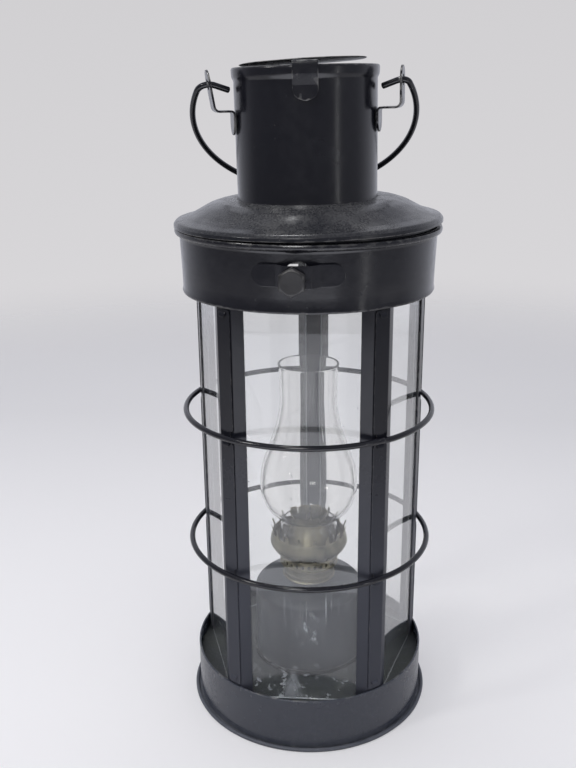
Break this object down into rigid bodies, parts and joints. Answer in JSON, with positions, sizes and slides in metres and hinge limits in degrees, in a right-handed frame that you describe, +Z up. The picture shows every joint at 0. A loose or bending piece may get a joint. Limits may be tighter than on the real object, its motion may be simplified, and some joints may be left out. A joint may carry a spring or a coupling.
{
  "type": "hanging lantern",
  "caption": "Hanging oil lantern with a glazed cage, a lift-off chimney hood clamped by a hex screw, a swinging wire bail, and a lift-out wick lamp with a glass chimney.",
  "frame": {"origin": "centre of the base plate's underside, on the floor", "axes": "+Z up along the chimney; the front pane and the hood lock face -Y; the winder knob faces +Y, to the rear; +X is to the right seen from the front"},
  "size_m": [0.1804, 0.1891, 0.4644],
  "materials": {
    "black_paint": "satin",
    "clear_glass": "polished",
    "aged_brass": "satin",
    "dark_steel": "satin",
    "cotton": "matte"
  },
  "bodies": {
    "body": {"base_plate": "black_paint", "pan_wall": "black_paint", "deck_plate": "black_paint", "font_seat_ring": "black_paint", "post_1": "black_paint", "post_2": "black_paint", "post_3": "black_paint", "post_4": "black_paint", "post_5": "black_paint", "post_cover_1": "black_paint", "post_cover_2": "black_paint", "post_cover_3": "black_paint", "post_cover_4": "black_paint", "post_cover_5": "black_paint", "pane_1": "clear_glass", "pane_2": "clear_glass", "pane_3": "clear_glass", "pane_4": "clear_glass", "pane_5": "clear_glass", "guard_ring_lower": "black_paint", "guard_ring_upper": "black_paint", "top_band": "black_paint", "lock_bridge": "black_paint"},
    "lock_screw": {"lock_screw": "black_paint", "screw_retainer": "dark_steel"},
    "clamp": {"clamp_nut": "dark_steel"},
    "hood": {"hood_dome": "black_paint", "hood_collar": "black_paint", "hood_fork": "dark_steel", "chimney_tube": "black_paint", "ear_left": "black_paint", "ear_right": "black_paint", "cap_strap": "black_paint", "cap_disc": "black_paint"},
    "bail": {"bail_wire": "black_paint"},
    "font": {"font_body": "black_paint", "font_neck": "aged_brass"},
    "burner": {"burner_base": "aged_brass", "air_screen": "aged_brass", "burner_gallery": "aged_brass", "chimney_seat": "aged_brass", "flame_cone": "aged_brass", "wick_tube": "aged_brass"},
    "wick": {"wick": "cotton"},
    "wick_winder": {"wick_shaft": "dark_steel", "wick_knob": "aged_brass"},
    "glass": {"glass_chimney": "clear_glass"}
  },
  "joints": [
    {"name": "hood_lift", "type": "slide", "parent": "body", "child": "hood", "axis": [0, 0, 1], "range_m": [0, 0.06]},
    {"name": "bail_swing", "type": "hinge", "parent": "hood", "child": "bail", "pos_m": [-0.00067, -0.01414, 0.44921], "axis": [0.9985, 0.0523, 0.0157], "range_deg": [0, 264]},
    {"name": "lock_screw_turn", "type": "hinge", "parent": "body", "child": "lock_screw", "pos_m": [-0.00464, -0.09383, 0.3377], "axis": [-0.0174, -0.9998, 0], "range_deg": [0, 720]},
    {"name": "clamp_slide", "type": "slide", "parent": "body", "child": "clamp", "axis": [0.0174, 0.9998, 0], "range_m": [0, 0.0026]},
    {"name": "font_lift", "type": "slide", "parent": "body", "child": "font", "axis": [0, 0, 1], "range_m": [0, 0.15]},
    {"name": "burner_turn", "type": "hinge", "parent": "font", "child": "burner", "pos_m": [0, 0, 0.11], "axis": [0, 0, 1], "range_deg": [0, 720]},
    {"name": "glass_lift", "type": "slide", "parent": "burner", "child": "glass", "axis": [0, 0, 1], "range_m": [0, 0.035]},
    {"name": "wick_knob_turn", "type": "hinge", "parent": "burner", "child": "wick_winder", "pos_m": [0.0047, 0, 0.1102], "axis": [0, 1, 0], "range_deg": [-45, 90]},
    {"name": "wick_slide", "type": "slide", "parent": "burner", "child": "wick", "axis": [0, 0, 1], "range_m": [-0.003, 0.006]}
  ],
  "couplings": [
    {"joint": "clamp_slide", "follows": "lock_screw_turn", "m_per_rad": 0.000199},
    {"joint": "wick_slide", "follows": "wick_knob_turn", "m_per_rad": 0.0032}
  ]
}
